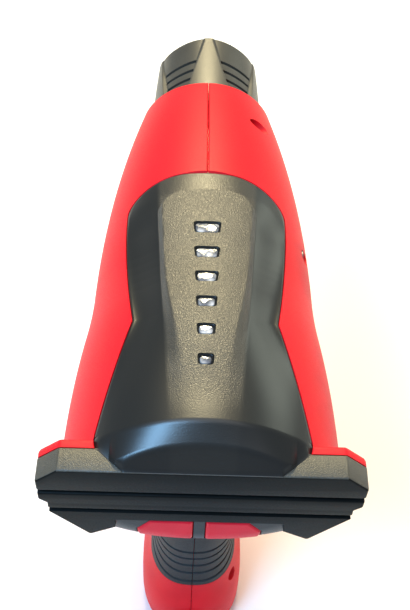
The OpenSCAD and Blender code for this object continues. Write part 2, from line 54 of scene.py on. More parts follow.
MM = 0.001
MOUNTS = {m["name"]: m["pos_m"] for m in frame["record"]["mounts"]}
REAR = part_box("rear_cover")[0].y / MM
AXIS = MOUNTS["nozzle_outlet"][2] / MM
FLOOR = -AXIS
FLANGE_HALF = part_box("rear_cover")[1].x / MM
FLANGE_T = 8.2
GUARD_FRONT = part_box("nozzle_guard")[1].y / MM - REAR
SHELL_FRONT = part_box("housing_right")[1].y / MM - REAR
RIM_FRONT = FLANGE_T + 3.3
FLANGE_TOP = 34.0
SHOULDER_S = 77.0
SHOULDER_R = 40.8
BACK_R = 46.5
NOSE_R = 27.8
WALL = 2.4
SEAM = 0.13
CONSOLE_H = 40.0
CONSOLE_R = 47.0
CONSOLE_BEND = 20.0
CONSOLE_RECESS = 0.8
BEND_SIN = math.sin(math.radians(45))
COVER_HALF = 28.8
COVER_FRONT = 121.5
COVER_WAIST = 54.0
WAIST_HALF = COVER_HALF - 5.0
CORNER_S = 108.5
CORNER_LONG = COVER_FRONT - CORNER_S
CORNER_X = 8
PANEL_FRONT = 111.0
PANEL_HALF = 9.6
PANEL_SPREAD = 0.07
BULGE_HALF = 23.6
BULGE_SPREAD = 1.12
LAMPS = 6
LAMP_PITCH = 11.65
LAMP_FIRST = 91.5
LAMP_WIDE = 9.8
LAMP_NARROW = 5.2
NET_STEP = 1.5
ARC_POINTS = 5
FAR = 60


# ---- mesh tools ----

def smooth_step(low, high, v):
    """0 at low and 1 at high, with a smooth change between; low may be above high."""
    t = np.clip((v - low) / (high - low), 0, 1)
    return t * t * (3 - 2 * t)


def soft_min(a, b, k):
    """The smaller of two values, with the change rounded over k."""
    t = np.clip(0.5 + 0.5 * (b - a) / k, 0, 1)
    return b * (1 - t) + a * t - k * t * (1 - t)


def soft_max(a, b, k):
    return -soft_min(-a, -b, k)


def eased(v, knots, values, ease):
    """Straight runs between the knots, with their corners rounded over the length ease."""
    shifts = np.linspace(-ease / 2, ease / 2, 9)
    return sum(np.interp(v + d, knots, values) for d in shifts) / len(shifts)


def make(name, points, faces):
    """A mesh object from points in (x, s, h) millimetres."""
    mesh = bpy.data.meshes.new(name)
    placed = (np.asarray(points, float) + (0, REAR, AXIS)) * MM
    mesh.from_pydata(placed.tolist(), [], [list(map(int, f)) for f in faces])
    mesh.update()
    obj = bpy.data.objects.new(name, mesh)
    bpy.context.scene.collection.objects.link(obj)
    bm = bmesh.new()
    bm.from_mesh(mesh)
    bmesh.ops.remove_doubles(bm, verts=bm.verts, dist=1e-7)
    bmesh.ops.recalc_face_normals(bm, faces=bm.faces)
    bm.to_mesh(mesh)
    bm.free()
    return obj


def apply_all(obj):
    """Turns an object's modifiers into its mesh."""
    graph = bpy.context.evaluated_depsgraph_get()
    mesh = bpy.data.meshes.new_from_object(obj.evaluated_get(graph))
    obj.modifiers.clear()
    obj.data = mesh
    return obj


def combine(obj, other, how="DIFFERENCE", keep=False):
    """Cuts, adds or intersects other, which is then removed unless it is kept."""
    mod = obj.modifiers.new("combine", "BOOLEAN")
    mod.operation = how
    mod.solver = "MANIFOLD"
    mod.object = other
    apply_all(obj)
    if not keep:
        bpy.data.objects.remove(other)
    return obj


def bevel(obj, width, segments, angle=30):
    """Rounds the edges that are sharper than an angle."""
    mod = obj.modifiers.new("bevel", "BEVEL")
    mod.width = width * MM
    mod.segments = segments
    mod.limit_method = "ANGLE"
    mod.angle_limit = math.radians(angle)
    mod.use_clamp_overlap = True
    return apply_all(obj)


def joined(name, objs):
    """One object holding the meshes of several."""
    bm = bmesh.new()
    for o in objs:
        bm.from_mesh(o.data)
        bpy.data.objects.remove(o)
    mesh = bpy.data.meshes.new(name)
    bm.to_mesh(mesh)
    bm.free()
    obj = bpy.data.objects.new(name, mesh)
    bpy.context.scene.collection.objects.link(obj)
    return obj


def ring_faces(rows, count, closed_ends=True):
    """Faces of a tube whose rings of count points follow each other in the point list."""
    faces = []
    for k in range(rows - 1):
        for i in range(count):
            j = (i + 1) % count
            faces.append((k * count + i, k * count + j, (k + 1) * count + j, (k + 1) * count + i))
    if closed_ends:
        faces.append(tuple(range(count - 1, -1, -1)))
        faces.append(tuple((rows - 1) * count + i for i in range(count)))
    return faces


def loft(name, rings):
    """A solid through rings that have the same number of points."""
    count = len(rings[0])
    return make(name, np.concatenate([np.asarray(r, float) for r in rings]), ring_faces(len(rings), count))


def box(name, x, s, h):
    """A box from its low and high value along x, s and h."""
    corners = [(a, b, c) for c in h for b in s for a in x]
    faces = [(0, 2, 3, 1), (4, 5, 7, 6), (0, 1, 5, 4), (2, 6, 7, 3), (0, 4, 6, 2), (1, 3, 7, 5)]
    return make(name, corners, faces)


def lathe(name, profile, centre_h=0.0, segments=160):
    """A closed profile of (radius, s) turned about a line along the barrel, centre_h above its axis."""
    angles = np.linspace(0, 2 * math.pi, segments, endpoint=False)
    rings = [[(r * math.sin(a), s, centre_h + r * math.cos(a)) for r, s in profile] for a in angles]
    points = np.array(rings).reshape(-1, 3)
    n = len(profile)
    faces = []
    for k in range(segments):
        m = (k + 1) % segments
        for i in range(n):
            j = (i + 1) % n
            faces.append((k * n + i, k * n + j, m * n + j, m * n + i))
    return make(name, points, faces)


def prism(name, outline, low, high, along="s"):
    """An outline in (x, h) run along s, in (x, s) run along h, or in (s, h) run along x."""
    order = {"s": lambda p, v: (p[0], v, p[1]), "h": lambda p, v: (p[0], p[1], v),
             "x": lambda p, v: (v, p[0], p[1])}[along]
    return loft(name, [[order(p, v) for p in outline] for v in (low, high)])


def cylinder(name, centre, radius, length, axis="x", segments=48):
    """A cylinder that starts at centre and runs along x or s."""
    a = np.linspace(0, 2 * math.pi, segments, endpoint=False)
    c, d = radius * np.cos(a), radius * np.sin(a)
    rings = []
    for v in (0, length):
        z = np.full(segments, float(v))
        local = {"x": (z, c, d), "s": (c, z, d)}[axis]
        rings.append(np.stack(local, 1) + centre)
    return loft(name, rings)


def slab(name, top, bottom):
    """A closed solid between two grids of points."""
    m, n = top.shape[:2]
    points = np.concatenate([top.reshape(-1, 3), bottom.reshape(-1, 3)])
    at = lambda i, j, k=0: k * m * n + i * n + j
    faces = [(at(i, j), at(i + 1, j), at(i + 1, j + 1), at(i, j + 1))
             for i in range(m - 1) for j in range(n - 1)]
    faces += [(at(i, j, 1), at(i, j + 1, 1), at(i + 1, j + 1, 1), at(i + 1, j, 1))
              for i in range(m - 1) for j in range(n - 1)]
    rim = [(0, j) for j in range(n)] + [(i, n - 1) for i in range(1, m)]
    rim += [(m - 1, j) for j in range(n - 2, -1, -1)] + [(i, 0) for i in range(m - 2, 0, -1)]
    for (a, b), (c, d) in zip(rim, rim[1:] + rim[:1]):
        faces.append((at(a, b), at(c, d), at(c, d, 1), at(a, b, 1)))
    return make(name, points, faces)


def rounded(outline, radius):
    """An outline with each corner replaced by an arc."""
    pts = [np.array(p, float) for p in outline]
    result = []
    for i, p in enumerate(pts):
        a, b = pts[i - 1] - p, pts[(i + 1) % len(pts)] - p
        la, lb = np.linalg.norm(a), np.linalg.norm(b)
        half = math.acos(np.clip(a @ b / (la * lb), -1, 1)) / 2
        r = min(radius, 0.45 * min(la, lb) * math.tan(half))
        reach = r / math.tan(half)
        start, end = p + a / la * reach, p + b / lb * reach
        for t in np.linspace(0, 1, ARC_POINTS):
            result.append(tuple((1 - t) ** 2 * start + 2 * t * (1 - t) * p + t * t * end))
    return result


def net(field, low, high, step, level):
    """The surface where a field equals level, as points and four-sided faces."""
    axes = [np.arange(a, b + step, step) for a, b in zip(low, high)]
    grid = np.meshgrid(*axes, indexing="ij")
    inside = field(*grid) < level
    nx, ny, nz = (n - 1 for n in inside.shape)
    count = sum(inside[i:nx + i, j:ny + j, k:nz + k].astype(int)
                for i in (0, 1) for j in (0, 1) for k in (0, 1))
    mask = (count > 0) & (count < 8)
    index = np.full(mask.shape, -1)
    index[mask] = np.arange(mask.sum())
    points = np.argwhere(mask) * step + np.array(low) + step / 2
    quads = []
    for axis in range(3):
        turn = [(axis + i) % 3 for i in range(3)]
        ins, idx = inside.transpose(turn), index.transpose(turn)
        here, there = ins[:-1, 1:-1, 1:-1], ins[1:, 1:-1, 1:-1]
        cells = np.stack([idx[:, :-1, :-1], idx[:, 1:, :-1], idx[:, 1:, 1:], idx[:, :-1, 1:]], -1)
        quads.append(cells[here & ~there])
        quads.append(cells[~here & there][:, ::-1])
    quads = np.concatenate(quads)
    points = settle(points, field, level, 8)
    for _ in range(3):
        a, b = quads.ravel(), np.roll(quads, -1, 1).ravel()
        n = len(points)
        number = np.bincount(a, minlength=n) + np.bincount(b, minlength=n)
        mean = np.stack([(np.bincount(a, points[b, i], n) + np.bincount(b, points[a, i], n)) / number
                         for i in range(3)], 1)
        points = settle(mean, field, level, 3)
    return points, quads


def settle(points, field, level, rounds):
    """Moves points along the field's slope until they lie on the level."""
    eps = 0.05
    for _ in range(rounds):
        off = field(*points.T) - level
        slope = np.stack([(field(*(points + d).T) - field(*(points - d).T)) / (2 * eps)
                          for d in np.eye(3) * eps], 1)
        move = (off / np.maximum((slope ** 2).sum(1), 0.2))[:, None] * slope
        points = points - np.clip(move, -3, 3)
    return points


# ---- body form ----

def body_radius(s):
    """Barrel radius: a slight kink at the shoulder, rounded over about 16 mm."""
    return sum(body_profile(s + d) for d in (-8, -4, 0, 4, 8)) / 5


def body_profile(s):
    """Barrel radius with its corner at the shoulder still sharp."""
    fore = SHOULDER_R - (SHOULDER_R - NOSE_R) * (
        np.clip((s - SHOULDER_S) / (SHELL_FRONT - SHOULDER_S), 0, 1.06)) ** 2.05
    aft = BACK_R - (BACK_R - SHOULDER_R) * (
        np.clip(s - RIM_FRONT, 0, None) / (SHOULDER_S - RIM_FRONT)) ** 2.1
    return np.where(s >= SHOULDER_S, fore, aft)


# Handle sections by height above the foot: half width, reach to the front and to the rear
GRIP_Z = [0, 20, 34, 54, 74, 92, 108, 124, 140]
GRIP_HALF = [23.2, 23.0, 19.6, 17.6, 18.2, 18.4, 19.6, 22, 26]
GRIP_FRONT = [45.0, 44.6, 31.4, 22.0, 22.6, 23.0, 26.5, 33, 44]
GRIP_REAR = [33.6, 33.2, 26.6, 24.4, 25.4, 24.2, 24.6, 27, 30]


def grip_field(x, s, h):
    """Distance outside the handle, negative inside it."""
    z = h + AXIS
    half = eased(z, GRIP_Z, GRIP_HALF, 16)
    front = eased(z, GRIP_Z, GRIP_FRONT, 16)
    rear = eased(z, GRIP_Z, GRIP_REAR, 16)
    y = s + REAR
    reach = np.where(y > 0, front, rear)
    ratio = (np.abs(x / half) ** 2.5 + np.abs(y / reach) ** 2.5) ** 0.4
    side = (ratio - 1) * half
    return soft_max(soft_max(side, -z, 3.5), z - 145, 2)


def gun_field(x, s, h):
    """Distance outside the whole body: barrel, sloped rear and handle, blended together."""
    barrel = np.hypot(x, h) - body_radius(s)
    slope_r = CONSOLE_R + CONSOLE_BEND * (2 * BEND_SIN - 1) - CONSOLE_RECESS + s
    slope = (np.hypot(x, h - CONSOLE_H) - slope_r) / math.sqrt(2)
    body = soft_max(soft_max(barrel, slope, 5), np.abs(s - 97) - 100, 0.5)
    return soft_min(body, grip_field(x, s, h), 11)


def cover_half(s):
    """Half the top cover's width: widest at the front, a kink at the waist, wide again at the rear."""
    front = COVER_HALF - 5.0 * (np.clip(104 - s, 0, None) / 50) ** 1.6
    along = np.clip(s - CORNER_S, 0, CORNER_LONG) / CORNER_LONG
    corner = CORNER_X + (COVER_HALF - CORNER_X) * np.sqrt(np.clip(1 - along ** 2, 0, 1))
    t = (COVER_WAIST - s) / (COVER_WAIST - 12)
    rear = WAIST_HALF + 9.6 * (1.2 * t - 0.2 * t * t)
    crease = np.minimum(BULGE_HALF + BULGE_SPREAD * s, 32.6 + 0.2 * (s - 8))
    fore = np.where(s > CORNER_S, corner, front)
    return np.where(s > COVER_WAIST, fore, np.minimum(rear, np.where(s < 12, crease, rear)))


def bulge_height(x, s):
    """The stepped bulge over the rear cover: a steep band, a shallower band, and the crest."""
    start = np.clip((np.abs(x) - BULGE_HALF) / BULGE_SPREAD, 0, RIM_FRONT - 0.5)
    step_s = np.maximum(start + 0.01, 5.3 - 3.3 * (x / 27.5) ** 2)
    step_h = FLANGE_TOP + 0.1 + 8.0 * np.clip(1 - np.abs(x / 28) ** 2.2, 0, 1) ** 0.75
    crest = np.sqrt(np.clip(BACK_R ** 2 - x * x, 1, None))
    steep = FLANGE_TOP + (step_h - FLANGE_TOP) * np.clip((s - start) / (step_s - start), 0, 1)
    shallow = step_h + (crest - step_h) * (s - step_s) / (RIM_FRONT - step_s)
    return np.where(s < step_s, steep, np.minimum(shallow, crest))


def cover_base(x, s):
    """Height of the cover without its panel: the barrel's form, closed by the bulge at the rear."""
    barrel = np.sqrt(np.clip(body_radius(s) ** 2 - x * x, 1, None))
    soft = sum(bulge_height(x, s + d) for d in (-0.8, -0.4, 0, 0.4, 0.8)) / 5
    return np.where(s < RIM_FRONT + 1, np.minimum(soft, barrel), barrel)


def panel_half(s):
    """Half the raised panel's width."""
    return PANEL_HALF + PANEL_SPREAD * s


def panel_distance(x, s):
    """Distance outside the raised panel's outline, negative inside it."""
    corner = 9.0
    dx, ds = np.abs(x) - (panel_half(s) - corner), s - (PANEL_FRONT - corner)
    return np.hypot(np.maximum(dx, 0), np.maximum(ds, 0)) - corner + np.minimum(np.maximum(dx, ds), 0)


def edge_roll(d, radius):
    """How far a surface drops where it rolls over an edge at distance d."""
    t = np.clip(1 - d / radius, 0, 1)
    return radius * (1 - np.sqrt(1 - t * t))


def cover_height(x, s):
    """Height of the finished cover: its base, sunk beside the panel, with the panel raised on it."""
    base = cover_base(x, s)
    far_in = smooth_step(16, 60, s)
    out = panel_distance(x, s)
    band = np.clip(out / np.maximum(cover_half(s) - panel_half(s), 3), 0, 1)
    front = smooth_step(PANEL_FRONT + 1, PANEL_FRONT - 16, s)
    sunk = 1.3 * far_in * front * np.sin(math.pi * np.clip(1 - band, 0, 1) ** 0.7) ** 1.2
    flat = body_radius(s) + 1.7 * far_in - x * x / (2 * (46 + 22 * far_in))
    panel = np.maximum(flat, base)
    low = base - sunk
    soft = 0.7 + 4.5 * smooth_step(75, 25, s)
    return low + (panel - low) * smooth_step(0.8, -soft, out) * smooth_step(12, 30, s)


# ---- materials ----

class Nodes:
    """A short way to write a material's nodes."""

    def __init__(self, name, color, rough, metallic=0.0, **sockets):
        self.mat = bpy.data.materials.new(name)
        self.mat.use_nodes = True
        self.tree = self.mat.node_tree
        self.shader = self.tree.nodes["Principled BSDF"]
        self.shader.inputs["Base Color"].default_value = (*color, 1)
        self.shader.inputs["Roughness"].default_value = rough
        self.shader.inputs["Metallic"].default_value = metallic
        for key, value in sockets.items():
            self.shader.inputs[key.replace("_", " ")].default_value = value
        self.where = self.new("ShaderNodeTexCoord").outputs["Object"]
        self.mat.diffuse_color = (*color, 1)

    def new(self, kind, **inputs):
        node = self.tree.nodes.new(kind)
        for key, value in inputs.items():
            self.put(node.inputs[key.replace("_", " ")], value)
        return node

    def put(self, socket, value):
        if hasattr(value, "is_linked"):
            self.tree.links.new(value, socket)
        else:
            socket.default_value = value

    def noise(self, size_mm, detail=2.0, rough=0.5):
        return self.new("ShaderNodeTexNoise", Vector=self.where, Scale=1 / (size_mm * MM),
                        Detail=detail, Roughness=rough).outputs["Fac"]

    def between(self, fac, low, high, to_low=0.0, to_high=1.0):
        return self.new("ShaderNodeMapRange", Value=fac, From_Min=low, From_Max=high,
                        To_Min=to_low, To_Max=to_high).outputs["Result"]

    def tint(self, fac, dark, light):
        node = self.tree.nodes.new("ShaderNodeMix")
        node.data_type = "RGBA"
        self.put(node.inputs["Factor"], fac)
        node.inputs["A"].default_value = (*dark, 1)
        node.inputs["B"].default_value = (*light, 1)
        return node.outputs["Result"]

    def math(self, how, a, b=0.0):
        node = self.tree.nodes.new("ShaderNodeMath")
        node.operation = how
        self.put(node.inputs[0], a)
        self.put(node.inputs[1], b)
        return node.outputs[0]

    def bump(self, heights):
        """Bump from pairs of (height, depth in millimetres)."""
        last = None
        for height, depth in heights:
            node = self.new("ShaderNodeBump", Height=height, Strength=1.0, Distance=depth * MM)
            if last is not None:
                self.put(node.inputs["Normal"], last)
            last = node.outputs["Normal"]
        self.put(self.shader.inputs["Normal"], last)


def moulded(name, color, rough, grain_mm, grain_depth, spread=0.12, **sockets):
    """Moulded plastic: spark-eroded grain, slight mottling, and roughness that varies."""
    m = Nodes(name, color, rough, **sockets)
    wide, fine = m.noise(14, 3), m.noise(grain_mm, 2, 0.6)
    dark = tuple(c * (1 - spread) for c in color)
    light = tuple(min(1, c * (1 + spread)) for c in color)
    m.put(m.shader.inputs["Base Color"], m.tint(m.between(wide, 0.35, 0.65), dark, light))
    m.put(m.shader.inputs["Roughness"], m.between(fine, 0.3, 0.7, rough - 0.06, rough + 0.08))
    m.bump([(fine, grain_depth)])
    return m.mat


def panelled(name):
    """The top cover: strong spark-eroded grain on the raised panel, satin beside it; the panel's lighter
    olive-brown colour is a painted warm sheen.
    """
    m = Nodes(name, BLACK, 0.4, Specular_IOR_Level=0.7)
    where = m.new("ShaderNodeSeparateXYZ", Vector=m.where).outputs
    spread = m.math("MULTIPLY", where["Y"], PANEL_SPREAD)
    off = m.math("SUBTRACT", m.math("ABSOLUTE", where["X"]), spread)
    edge = PANEL_HALF - PANEL_SPREAD * REAR
    near = m.between(off, (edge - 0.66) * MM, (edge + 0.84) * MM, 1.0, 0.0)
    end = PANEL_FRONT + REAR
    front = m.between(where["Y"], (end - 1) * MM, (end + 1) * MM, 1.0, 0.6)
    rear = m.between(where["Y"], (14 + REAR) * MM, (30 + REAR) * MM, 0.1, 1.0)
    mask = m.math("MULTIPLY", m.math("MULTIPLY", near, front), rear)
    fine, wide, fleck = m.noise(0.38, 1, 0.7), m.noise(11, 3), m.noise(0.4, 1, 0.7)
    # Painted warm sheen: the panel, and the band in front of it at 0.6, gets a lighter olive-brown colour
    # that stands in for warm light reflected off its grain; beside it the cover keeps its near-black
    # colour.
    painted_sheen_tone = m.math("MULTIPLY", mask, m.between(wide, 0.3, 0.7, 0.7, 1.0))
    m.put(m.shader.inputs["Base Color"], m.tint(painted_sheen_tone, (0.006, 0.008, 0.009), (0.052, 0.046, 0.036)))
    change = m.math("MULTIPLY", mask, m.between(fleck, 0.35, 0.65, -0.16, 0.10))
    m.put(m.shader.inputs["Roughness"], m.math("ADD", m.between(mask, 0, 1, 0.33, 0.43), change))
    grain = m.math("MULTIPLY", m.between(fine, 0, 1, -0.5, 0.5), m.between(mask, 0, 1, 0.08, 1.0))
    m.bump([(grain, 0.17), (m.noise(30, 1), 0.05)])
    return m.mat


def metal(name, color, rough, brushed_mm=0.0):
    """Metal with fine wear; brushed_mm above 0 draws the grain out round the barrel."""
    m = Nodes(name, color, rough, 1.0)
    fine, wide = m.noise(0.6, 3), m.noise(9, 2)
    stretch = 60
    if brushed_mm:
        drawn = m.new("ShaderNodeMapping", Vector=m.where, Scale=(1, stretch, 1))
        fine = m.new("ShaderNodeTexNoise", Vector=drawn.outputs["Vector"],
                     Scale=1 / (brushed_mm * stretch * MM), Detail=3.0).outputs["Fac"]
    dark = tuple(c * 0.82 for c in color)
    m.put(m.shader.inputs["Base Color"], m.tint(m.between(wide, 0.35, 0.7), dark, color))
    m.put(m.shader.inputs["Roughness"], m.between(fine, 0.3, 0.7, rough - 0.05, rough + 0.1))
    m.bump([(fine, 0.01)])
    return m.mat


def crystal(name):
    """Clear moulded windows coloured with the light pipe's facets behind them: the facet pattern is real,
    their silvery light and dark colouring a painted reflection.
    """
    m = Nodes(name, (0.5, 0.5, 0.5), 0.2, 0.45, Specular_IOR_Level=0.7)
    cells = m.new("ShaderNodeTexVoronoi", Vector=m.where, Scale=1 / (2.6 * MM)).outputs["Distance"]
    # Painted reflection: cell middles light silver and cell edges dark, standing in for light glinting in
    # the light pipe's facets.
    painted_facet_glints = m.tint(m.between(cells, 0.15, 0.7), (0.66, 0.66, 0.68), (0.13, 0.14, 0.17))
    m.put(m.shader.inputs["Base Color"], painted_facet_glints)
    m.put(m.shader.inputs["Roughness"], m.between(m.noise(0.8), 0.3, 0.7, 0.1, 0.3))
    m.bump([(cells, 0.3), (m.noise(0.7), 0.04)])
    return m.mat


SHELL_RED = (0.80, 0.009, 0.019)
BLACK = (0.020, 0.021, 0.023)
look = {
    "shell_red": moulded("shell_red", SHELL_RED, 0.50, 0.45, 0.010, 0.05,
                         Specular_IOR_Level=0.2),
    # Two copies of the flange's black plastic: a grained tan one whose lighter warm colour is painted
    # light on the up-facing tops, and a near-black satin one whose darkness is painted shade on the rear
    # faces.
    "flange_grain_painted_light": moulded("flange_grain_painted_light", (0.055, 0.050, 0.037), 0.40, 0.38, 0.18, 0.2,
                            Specular_IOR_Level=0.75),
    "flange_satin_painted_shade": moulded("flange_satin_painted_shade", (0.004, 0.005, 0.005), 0.5, 0.5, 0.02, 0.12,
                            Specular_IOR_Level=0.1),
    "cover_skin": panelled("cover_skin"),
    "cover_black": moulded("cover_black", (0.012, 0.013, 0.014), 0.38, 0.35, 0.016, 0.10,
                           Specular_IOR_Level=0.3),
    "soft_grip": moulded("soft_grip", (0.016, 0.016, 0.017), 0.62, 0.6, 0.05, 0.15),
    "button_red": moulded("button_red", (0.78, 0.014, 0.036), 0.42, 0.5, 0.012, 0.06,
                          Specular_IOR_Level=0.12),
    "clear_window": crystal("clear_window"),
    "guard_black": moulded("guard_black", (0.040, 0.039, 0.033), 0.42, 0.5, 0.03, 0.10,
                           Specular_IOR_Level=0.8),
    "inner_plastic": moulded("inner_plastic", (0.024, 0.024, 0.026), 0.45, 0.5, 0.02),
    "component_black": moulded("component_black", (0.02, 0.02, 0.02), 0.5, 0.4, 0.02),
    "rubber_black": moulded("rubber_black", (0.014, 0.014, 0.014), 0.68, 0.8, 0.04, 0.2),
    "filter_mesh": moulded("filter_mesh", (0.015, 0.015, 0.016), 0.6, 0.6, 0.05),
    "slider_red": moulded("slider_red", (0.66, 0.028, 0.03), 0.36, 0.5, 0.012, 0.06),
    "terminal_white": moulded("terminal_white", (0.75, 0.74, 0.7), 0.5, 0.6, 0.02),
    "duct_plastic": moulded("duct_plastic", (0.62, 0.58, 0.46), 0.5, 0.7, 0.02),
    "board": moulded("board", (0.02, 0.16, 0.06), 0.35, 1.2, 0.01, 0.25),
    "lamp": moulded("lamp", (0.85, 0.86, 0.8), 0.2, 1.0, 0.01),
    "capacitor_yellow": moulded("capacitor_yellow", (0.7, 0.42, 0.05), 0.35, 1.0, 0.02),
    "mica": moulded("mica", (0.6, 0.5, 0.32), 0.35, 1.5, 0.03, 0.25),
    "ceramic_white": moulded("ceramic_white", (0.82, 0.79, 0.72), 0.6, 0.4, 0.03, 0.08),
    "magnet": moulded("magnet", (0.09, 0.085, 0.085), 0.6, 0.4, 0.03),
    "carbon": moulded("carbon", (0.03, 0.03, 0.03), 0.55, 0.3, 0.03),
    "tube_steel": metal("tube_steel", (0.60, 0.56, 0.50), 0.3, 0.25),
    "heater_wire": metal("heater_wire", (0.42, 0.38, 0.34), 0.4),
    "steel": metal("steel", (0.62, 0.62, 0.64), 0.32),
    "core_iron": metal("core_iron", (0.36, 0.35, 0.35), 0.45, 0.3),
    "copper": metal("copper", (0.72, 0.36, 0.18), 0.32),
    "bronze": metal("bronze", (0.62, 0.46, 0.24), 0.42),
    "aluminium": metal("aluminium", (0.78, 0.78, 0.8), 0.34),
    "screw_steel": metal("screw_steel", (0.16, 0.16, 0.17), 0.38),
}


def dress(obj, body, slot, *nodes, sharp=32, skins=()):
    """Gives a piece its body, its CAD nodes, its material and its shading."""
    obj.data.materials.clear()
    for name in skins or (slot,):
        obj.data.materials.append(look[name])
    obj.data.polygons.foreach_set("use_smooth", [True] * len(obj.data.polygons))
    obj.data.set_sharp_from_angle(angle=math.radians(sharp))
    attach(obj, body)
    if nodes:
        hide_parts(*nodes)
    return obj


# ---- red shells ----

# Right half of the flange's outline as (x, h), from the top down
FLANGE_SIDE = [(FLANGE_HALF - 7.1, FLANGE_TOP), (FLANGE_HALF, FLANGE_TOP - 7), (FLANGE_HALF, 15.5),
               (FLANGE_HALF - 2.6, 13), (FLANGE_HALF - 2.4, 8), (35.6, -8.2), (27.4, -2.8)]


def both_sides(half):
    """The right half of an outline, closed by its mirror image."""
    return half + [(-x, h) for x, h in reversed(half)]


def shrunk(outline, by):
    """An outline moved inwards along its corners' normals."""
    pts = np.array(outline, float)
    prev, nxt = np.roll(pts, 1, 0), np.roll(pts, -1, 0)
    unit = lambda v: v / np.linalg.norm(v, axis=1, keepdims=True)
    a, b = unit(pts - prev), unit(nxt - pts)
    area = np.sum(prev[:, 0] * pts[:, 1] - pts[:, 0] * prev[:, 1])
    sign = 1 if area > 0 else -1
    na = np.stack([-a[:, 1], a[:, 0]], 1) * sign
    nb = np.stack([-b[:, 1], b[:, 0]], 1) * sign
    mid = unit(na + nb)
    grow = np.clip(1 / np.sum(mid * na, 1), 1, 1.8)
    return [tuple(p) for p in pts + mid * (by * grow)[:, None]]


def cover_loop(grow):
    """The cover's outline, grown outwards, as a closed loop of (x, s)."""
    t = np.linspace(0, 1, 90)[1:]
    s_side = np.concatenate([np.linspace(-1, CORNER_S, 160),
                             CORNER_S + CORNER_LONG * np.sin(t * math.pi / 2)])
    right = np.stack([cover_half(s_side), s_side], 1)
    loop = np.concatenate([right, (right * (-1, 1))[::-1]])
    return np.array(shrunk([tuple(p) for p in loop], -grow))


def cover_cutter():
    """Cuts the cover's place out of the shells and leaves a small chamfer on their edge."""
    near = cover_loop(0.10)
    out = cover_loop(1.6)
    x, s = near.T
    rim = np.where(s < RIM_FRONT + 1, FLANGE_TOP, 0)
    level = np.maximum(rim, np.sqrt(np.clip(body_radius(s) ** 2 - x ** 2, 1, None)))
    rings = [np.column_stack([near, np.full(len(near), 18.0)]),
             np.column_stack([near, level - 0.35]),
             np.column_stack([out, level + 1.35]),
             np.column_stack([out, np.full(len(near), 70.0)])]
    return loft("cover_cutter", rings)


# Screw pockets on the right: the head's seat along x, then the frame's y and z
SCREWS = [(12, 104, AXIS + 25), (12, 104, AXIS - 25), (34.4, 44, AXIS + 15), (14, -12, 108),
          (11.5, 14, 72), (15, 15, 24), (14, -17, 30)]


def build_shells():
    """Both shells as one hollow piece, with their openings, pockets and seam groove."""
    low, high = (-54, -6, FLOOR - 4), (54, 202, 54)
    outer = make("outer", *net(gun_field, low, high, NET_STEP, 0.0))
    inner = make("inner", *net(gun_field, low, high, NET_STEP, -WALL))
    combine(outer, box("clip", (-FAR, FAR), (FLANGE_T, SHELL_FRONT), (FLOOR - 5, FAR)), "INTERSECT")
    combine(inner, box("clip", (-FAR, FAR), (RIM_FRONT, 220), (FLOOR - 5, FAR)), "INTERSECT")
    outline = rounded(both_sides(FLANGE_SIDE), 2.2)
    rim = loft("rim", [[(x, s, h) for x, h in shrunk(outline, d)]
                       for s, d in ((FLANGE_T, 0.02), (RIM_FRONT - 1.4, 0.02), (RIM_FRONT - 0.5, 0.4),
                                    (RIM_FRONT, 1.3))])
    combine(outer, rim, "UNION")
    combine(outer, inner)
    opening = shrunk(both_sides(FLANGE_SIDE), 3.0)
    combine(outer, prism("recess", opening, 0, RIM_FRONT - 1.6))
    through = prism("through", opening, 0, RIM_FRONT + 2)
    bore = cylinder("bore", (0, -1, 0), BACK_R - 3.2, RIM_FRONT + 4, "s", 120)
    combine(outer, combine(through, bore, "INTERSECT"))
    combine(outer, cover_cutter())
    lip = [(NOSE_R - 0.7, SHELL_FRONT + 0.1), (NOSE_R + 2, SHELL_FRONT - 2.2),
           (NOSE_R + 6, SHELL_FRONT - 2.2), (NOSE_R + 6, SHELL_FRONT + 3),
           (NOSE_R - 0.7, SHELL_FRONT + 3)]
    combine(outer, lathe("lip", lip))
    groove_s = np.linspace(COVER_FRONT - 4, SHELL_FRONT + 2, 60)
    groove = [[(0, s, r - 0.55), (1.3, s, r + 0.75), (-1.3, s, r + 0.75)]
              for s, r in zip(groove_s, body_radius(groove_s))]
    combine(outer, loft("groove", groove))
    for seat, y, z in SCREWS:
        combine(outer, cylinder("pocket", (seat, y - REAR, z - AXIS), 3.1, FAR))
    combine(outer, box("window", (-9.3, 9.3), (15 - REAR, 45 - REAR), (85.7 - AXIS, 116.3 - AXIS)))
    combine(outer, cylinder("gland_hole", (0, -45 - REAR, GLAND_Z - AXIS), 6.6, 20, "s"))
    return outer


def place_halves(whole, name, node, slot):
    """Cuts a piece along the seam and dresses its two halves."""
    for side, xs in (("left", (-FAR, -SEAM)), ("right", (SEAM, FAR))):
        half = whole.copy()
        half.data = whole.data.copy()
        bpy.context.scene.collection.objects.link(half)
        combine(half, box("half", xs, (-10, 230), (FLOOR - 5, FAR)), "INTERSECT")
        half.name = f"{name}_{side}"
        dress(half, "gun", slot, f"{node}_{side}")
    bpy.data.objects.remove(whole)


def place_shells():
    """The two red shells."""
    both = build_shells()
    patch = prism("patch", grip_side(0.12), -FAR, FAR, "x")
    combine(both, combine(patch, handle_core("core", 1.3)))
    place_halves(both, "shell", "housing", "shell_red")


# ---- grips ----

# The soft grip's outline seen from the side, as the frame's (y, z)
GRIP_SIDE = [(-44, 38), (-8, 38), (3, 50), (6, 78), (-5, 92), (-44, 99)]
GROOVES = 5


def grip_side(grow):
    """The soft grip's outline as (s, h), grown outwards."""
    return shrunk([(y - REAR, z - AXIS) for y, z in rounded(GRIP_SIDE, 8)], -grow)


def handle_core(name, depth):
    """The handle's form, a depth below its surface."""
    return make(name, *net(grip_field, (-30, 14, FLOOR - 4), (30, 104, -18), NET_STEP, -depth))


